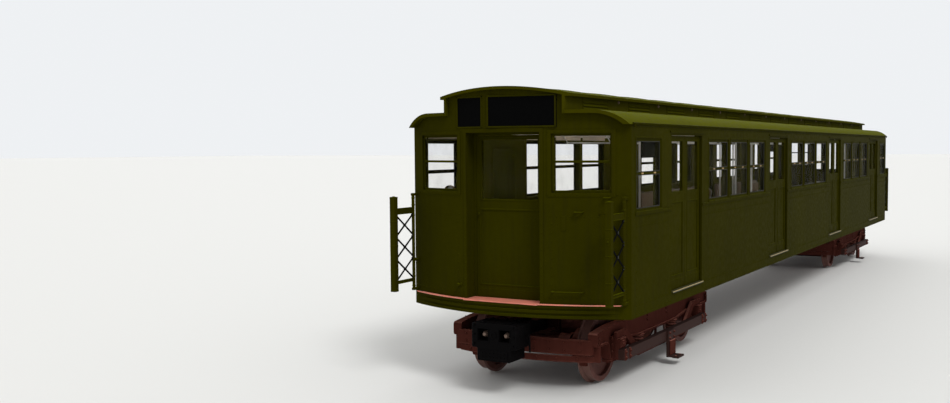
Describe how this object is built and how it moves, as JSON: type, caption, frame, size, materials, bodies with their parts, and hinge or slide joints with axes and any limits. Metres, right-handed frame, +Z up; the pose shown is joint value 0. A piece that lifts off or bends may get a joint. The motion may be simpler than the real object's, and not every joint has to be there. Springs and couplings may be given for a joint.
{
  "type": "subway car",
  "caption": "Electric subway car with clerestory roof, double sliding side doors, niched end doors, corner gates, pocket couplers and swivelling trucks.",
  "frame": {"origin": "under the middle of the car, at the lowest point of the wheel flanges", "axes": "+X along the car to its front end, +Y to its left, +Z up"},
  "size_m": [18.98, 3.05, 3.658],
  "materials": {
    "body_olive": "satin paint",
    "roof_olive": "satin paint",
    "truck_maroon": "dull paint",
    "wheel_steel": "worn",
    "coupler_black": "black",
    "underframe_black": "dull",
    "tread_coral": "worn",
    "window_glass": "clear",
    "seat_rattan": "woven",
    "seat_frame": "satin paint",
    "interior_green": "satin paint",
    "pole_white": "enamel",
    "sign_black": "black",
    "floor_grey": "worn"
  },
  "bodies": {
    "carbody": {"side_sills": "underframe_black", "centre_sills": "underframe_black", "cross_bearers": "underframe_black", "floor": "floor_grey", "side_wall_left": "body_olive", "side_wall_right": "body_olive", "end_wall_front": "body_olive", "end_wall_rear": "body_olive", "lower_roof": "roof_olive", "clerestory": "roof_olive", "window_glass": "window_glass", "anticlimbers": "body_olive", "door_treads": "tread_coral", "underfloor_equipment": "underframe_black", "seat_frames": "seat_frame", "seat_cushions": "seat_rattan", "cab_partitions": "interior_green", "grab_poles": "pole_white", "sign_boxes": "sign_black", "handrails": "body_olive"},
    "truck_front": {"truck_frame_front": "truck_maroon", "truck_bolster_front": "truck_maroon", "journal_boxes_front": "truck_maroon", "equalizers_front": "truck_maroon", "motors_front": "truck_maroon", "shoe_beams_front": "truck_maroon"},
    "truck_rear": {"truck_frame_rear": "truck_maroon", "truck_bolster_rear": "truck_maroon", "journal_boxes_rear": "truck_maroon", "equalizers_rear": "truck_maroon", "motors_rear": "truck_maroon", "shoe_beams_rear": "truck_maroon"},
    "axle_1": {"wheelset_1": "wheel_steel"},
    "axle_2": {"wheelset_2": "wheel_steel"},
    "axle_3": {"wheelset_3": "wheel_steel"},
    "axle_4": {"wheelset_4": "wheel_steel"},
    "coupler_front": {"coupler_front": "coupler_black"},
    "end_door_front": {"end_door_front": "body_olive"},
    "coupler_rear": {"coupler_rear": "coupler_black"},
    "end_door_rear": {"end_door_rear": "body_olive"},
    "gate_front_left": {"gate_front_left": "body_olive"},
    "gate_front_right": {"gate_front_right": "body_olive"},
    "gate_rear_left": {"gate_rear_left": "body_olive"},
    "gate_rear_right": {"gate_rear_right": "body_olive"},
    "door_left_1_front": {"door_left_1_front": "body_olive"},
    "door_left_1_rear": {"door_left_1_rear": "body_olive"},
    "door_left_2_front": {"door_left_2_front": "body_olive"},
    "door_left_2_rear": {"door_left_2_rear": "body_olive"},
    "door_left_3_front": {"door_left_3_front": "body_olive"},
    "door_left_3_rear": {"door_left_3_rear": "body_olive"},
    "door_left_4_front": {"door_left_4_front": "body_olive"},
    "door_left_4_rear": {"door_left_4_rear": "body_olive"},
    "door_right_1_front": {"door_right_1_front": "body_olive"},
    "door_right_1_rear": {"door_right_1_rear": "body_olive"},
    "door_right_2_front": {"door_right_2_front": "body_olive"},
    "door_right_2_rear": {"door_right_2_rear": "body_olive"},
    "door_right_3_front": {"door_right_3_front": "body_olive"},
    "door_right_3_rear": {"door_right_3_rear": "body_olive"},
    "door_right_4_front": {"door_right_4_front": "body_olive"},
    "door_right_4_rear": {"door_right_4_rear": "body_olive"}
  },
  "joints": [
    {"name": "truck_front_swivel", "type": "hinge", "parent": "carbody", "child": "truck_front", "pos_m": [6.75, 0, 0.808], "axis": [0, 0, 1], "range_deg": [-6, 6]},
    {"name": "truck_rear_swivel", "type": "hinge", "parent": "carbody", "child": "truck_rear", "pos_m": [-6.75, 0, 0.808], "axis": [0, 0, 1], "range_deg": [-6, 6]},
    {"name": "axle_1_turn", "type": "hinge", "parent": "truck_front", "child": "axle_1", "pos_m": [8.2, 0, 0.458], "axis": [0, 1, 0], "continuous": true},
    {"name": "axle_2_turn", "type": "hinge", "parent": "truck_front", "child": "axle_2", "pos_m": [5.3, 0, 0.458], "axis": [0, 1, 0], "continuous": true},
    {"name": "axle_3_turn", "type": "hinge", "parent": "truck_rear", "child": "axle_3", "pos_m": [-5.3, 0, 0.458], "axis": [0, 1, 0], "continuous": true},
    {"name": "axle_4_turn", "type": "hinge", "parent": "truck_rear", "child": "axle_4", "pos_m": [-8.2, 0, 0.458], "axis": [0, 1, 0], "continuous": true},
    {"name": "coupler_front_swing", "type": "hinge", "parent": "carbody", "child": "coupler_front", "pos_m": [8.32, 0, 0.728], "axis": [0, 0, 1], "range_deg": [-7, 7]},
    {"name": "end_door_front_hinge", "type": "hinge", "parent": "carbody", "child": "end_door_front", "pos_m": [9.026, 0.462, 2], "axis": [0, 0, -1], "range_deg": [0, 90]},
    {"name": "coupler_rear_swing", "type": "hinge", "parent": "carbody", "child": "coupler_rear", "pos_m": [-8.32, 0, 0.728], "axis": [0, 0, 1], "range_deg": [-7, 7]},
    {"name": "end_door_rear_hinge", "type": "hinge", "parent": "carbody", "child": "end_door_rear", "pos_m": [-9.026, -0.462, 2], "axis": [0, 0, -1], "range_deg": [0, 90]},
    {"name": "gate_front_left_hinge", "type": "hinge", "parent": "carbody", "child": "gate_front_left", "pos_m": [9.01, 1.455, 1.748], "axis": [0, 0, -1], "range_deg": [-10, 70]},
    {"name": "gate_front_right_hinge", "type": "hinge", "parent": "carbody", "child": "gate_front_right", "pos_m": [9.01, -1.455, 1.748], "axis": [0, 0, 1], "range_deg": [-10, 70]},
    {"name": "gate_rear_left_hinge", "type": "hinge", "parent": "carbody", "child": "gate_rear_left", "pos_m": [-9.01, 1.455, 1.748], "axis": [0, 0, 1], "range_deg": [-10, 70]},
    {"name": "gate_rear_right_hinge", "type": "hinge", "parent": "carbody", "child": "gate_rear_right", "pos_m": [-9.01, -1.455, 1.748], "axis": [0, 0, -1], "range_deg": [-10, 70]},
    {"name": "door_left_1_front_slide", "type": "slide", "parent": "carbody", "child": "door_left_1_front", "axis": [1, 0, 0], "range_m": [0, 0.56]},
    {"name": "door_left_1_rear_slide", "type": "slide", "parent": "carbody", "child": "door_left_1_rear", "axis": [-1, 0, 0], "range_m": [0, 0.56]},
    {"name": "door_left_2_front_slide", "type": "slide", "parent": "carbody", "child": "door_left_2_front", "axis": [1, 0, 0], "range_m": [0, 0.56]},
    {"name": "door_left_2_rear_slide", "type": "slide", "parent": "carbody", "child": "door_left_2_rear", "axis": [-1, 0, 0], "range_m": [0, 0.56]},
    {"name": "door_left_3_front_slide", "type": "slide", "parent": "carbody", "child": "door_left_3_front", "axis": [1, 0, 0], "range_m": [0, 0.56]},
    {"name": "door_left_3_rear_slide", "type": "slide", "parent": "carbody", "child": "door_left_3_rear", "axis": [-1, 0, 0], "range_m": [0, 0.56]},
    {"name": "door_left_4_front_slide", "type": "slide", "parent": "carbody", "child": "door_left_4_front", "axis": [1, 0, 0], "range_m": [0, 0.56]},
    {"name": "door_left_4_rear_slide", "type": "slide", "parent": "carbody", "child": "door_left_4_rear", "axis": [-1, 0, 0], "range_m": [0, 0.56]},
    {"name": "door_right_1_front_slide", "type": "slide", "parent": "carbody", "child": "door_right_1_front", "axis": [1, 0, 0], "range_m": [0, 0.56]},
    {"name": "door_right_1_rear_slide", "type": "slide", "parent": "carbody", "child": "door_right_1_rear", "axis": [-1, 0, 0], "range_m": [0, 0.56]},
    {"name": "door_right_2_front_slide", "type": "slide", "parent": "carbody", "child": "door_right_2_front", "axis": [1, 0, 0], "range_m": [0, 0.56]},
    {"name": "door_right_2_rear_slide", "type": "slide", "parent": "carbody", "child": "door_right_2_rear", "axis": [-1, 0, 0], "range_m": [0, 0.56]},
    {"name": "door_right_3_front_slide", "type": "slide", "parent": "carbody", "child": "door_right_3_front", "axis": [1, 0, 0], "range_m": [0, 0.56]},
    {"name": "door_right_3_rear_slide", "type": "slide", "parent": "carbody", "child": "door_right_3_rear", "axis": [-1, 0, 0], "range_m": [0, 0.56]},
    {"name": "door_right_4_front_slide", "type": "slide", "parent": "carbody", "child": "door_right_4_front", "axis": [1, 0, 0], "range_m": [0, 0.56]},
    {"name": "door_right_4_rear_slide", "type": "slide", "parent": "carbody", "child": "door_right_4_rear", "axis": [-1, 0, 0], "range_m": [0, 0.56]}
  ],
  "couplings": [
    {"joint": "door_left_1_rear_slide", "follows": "door_left_1_front_slide", "ratio": 1},
    {"joint": "door_left_2_rear_slide", "follows": "door_left_2_front_slide", "ratio": 1},
    {"joint": "door_left_3_rear_slide", "follows": "door_left_3_front_slide", "ratio": 1},
    {"joint": "door_left_4_rear_slide", "follows": "door_left_4_front_slide", "ratio": 1},
    {"joint": "door_right_1_rear_slide", "follows": "door_right_1_front_slide", "ratio": 1},
    {"joint": "door_right_2_rear_slide", "follows": "door_right_2_front_slide", "ratio": 1},
    {"joint": "door_right_3_rear_slide", "follows": "door_right_3_front_slide", "ratio": 1},
    {"joint": "door_right_4_rear_slide", "follows": "door_right_4_front_slide", "ratio": 1}
  ]
}
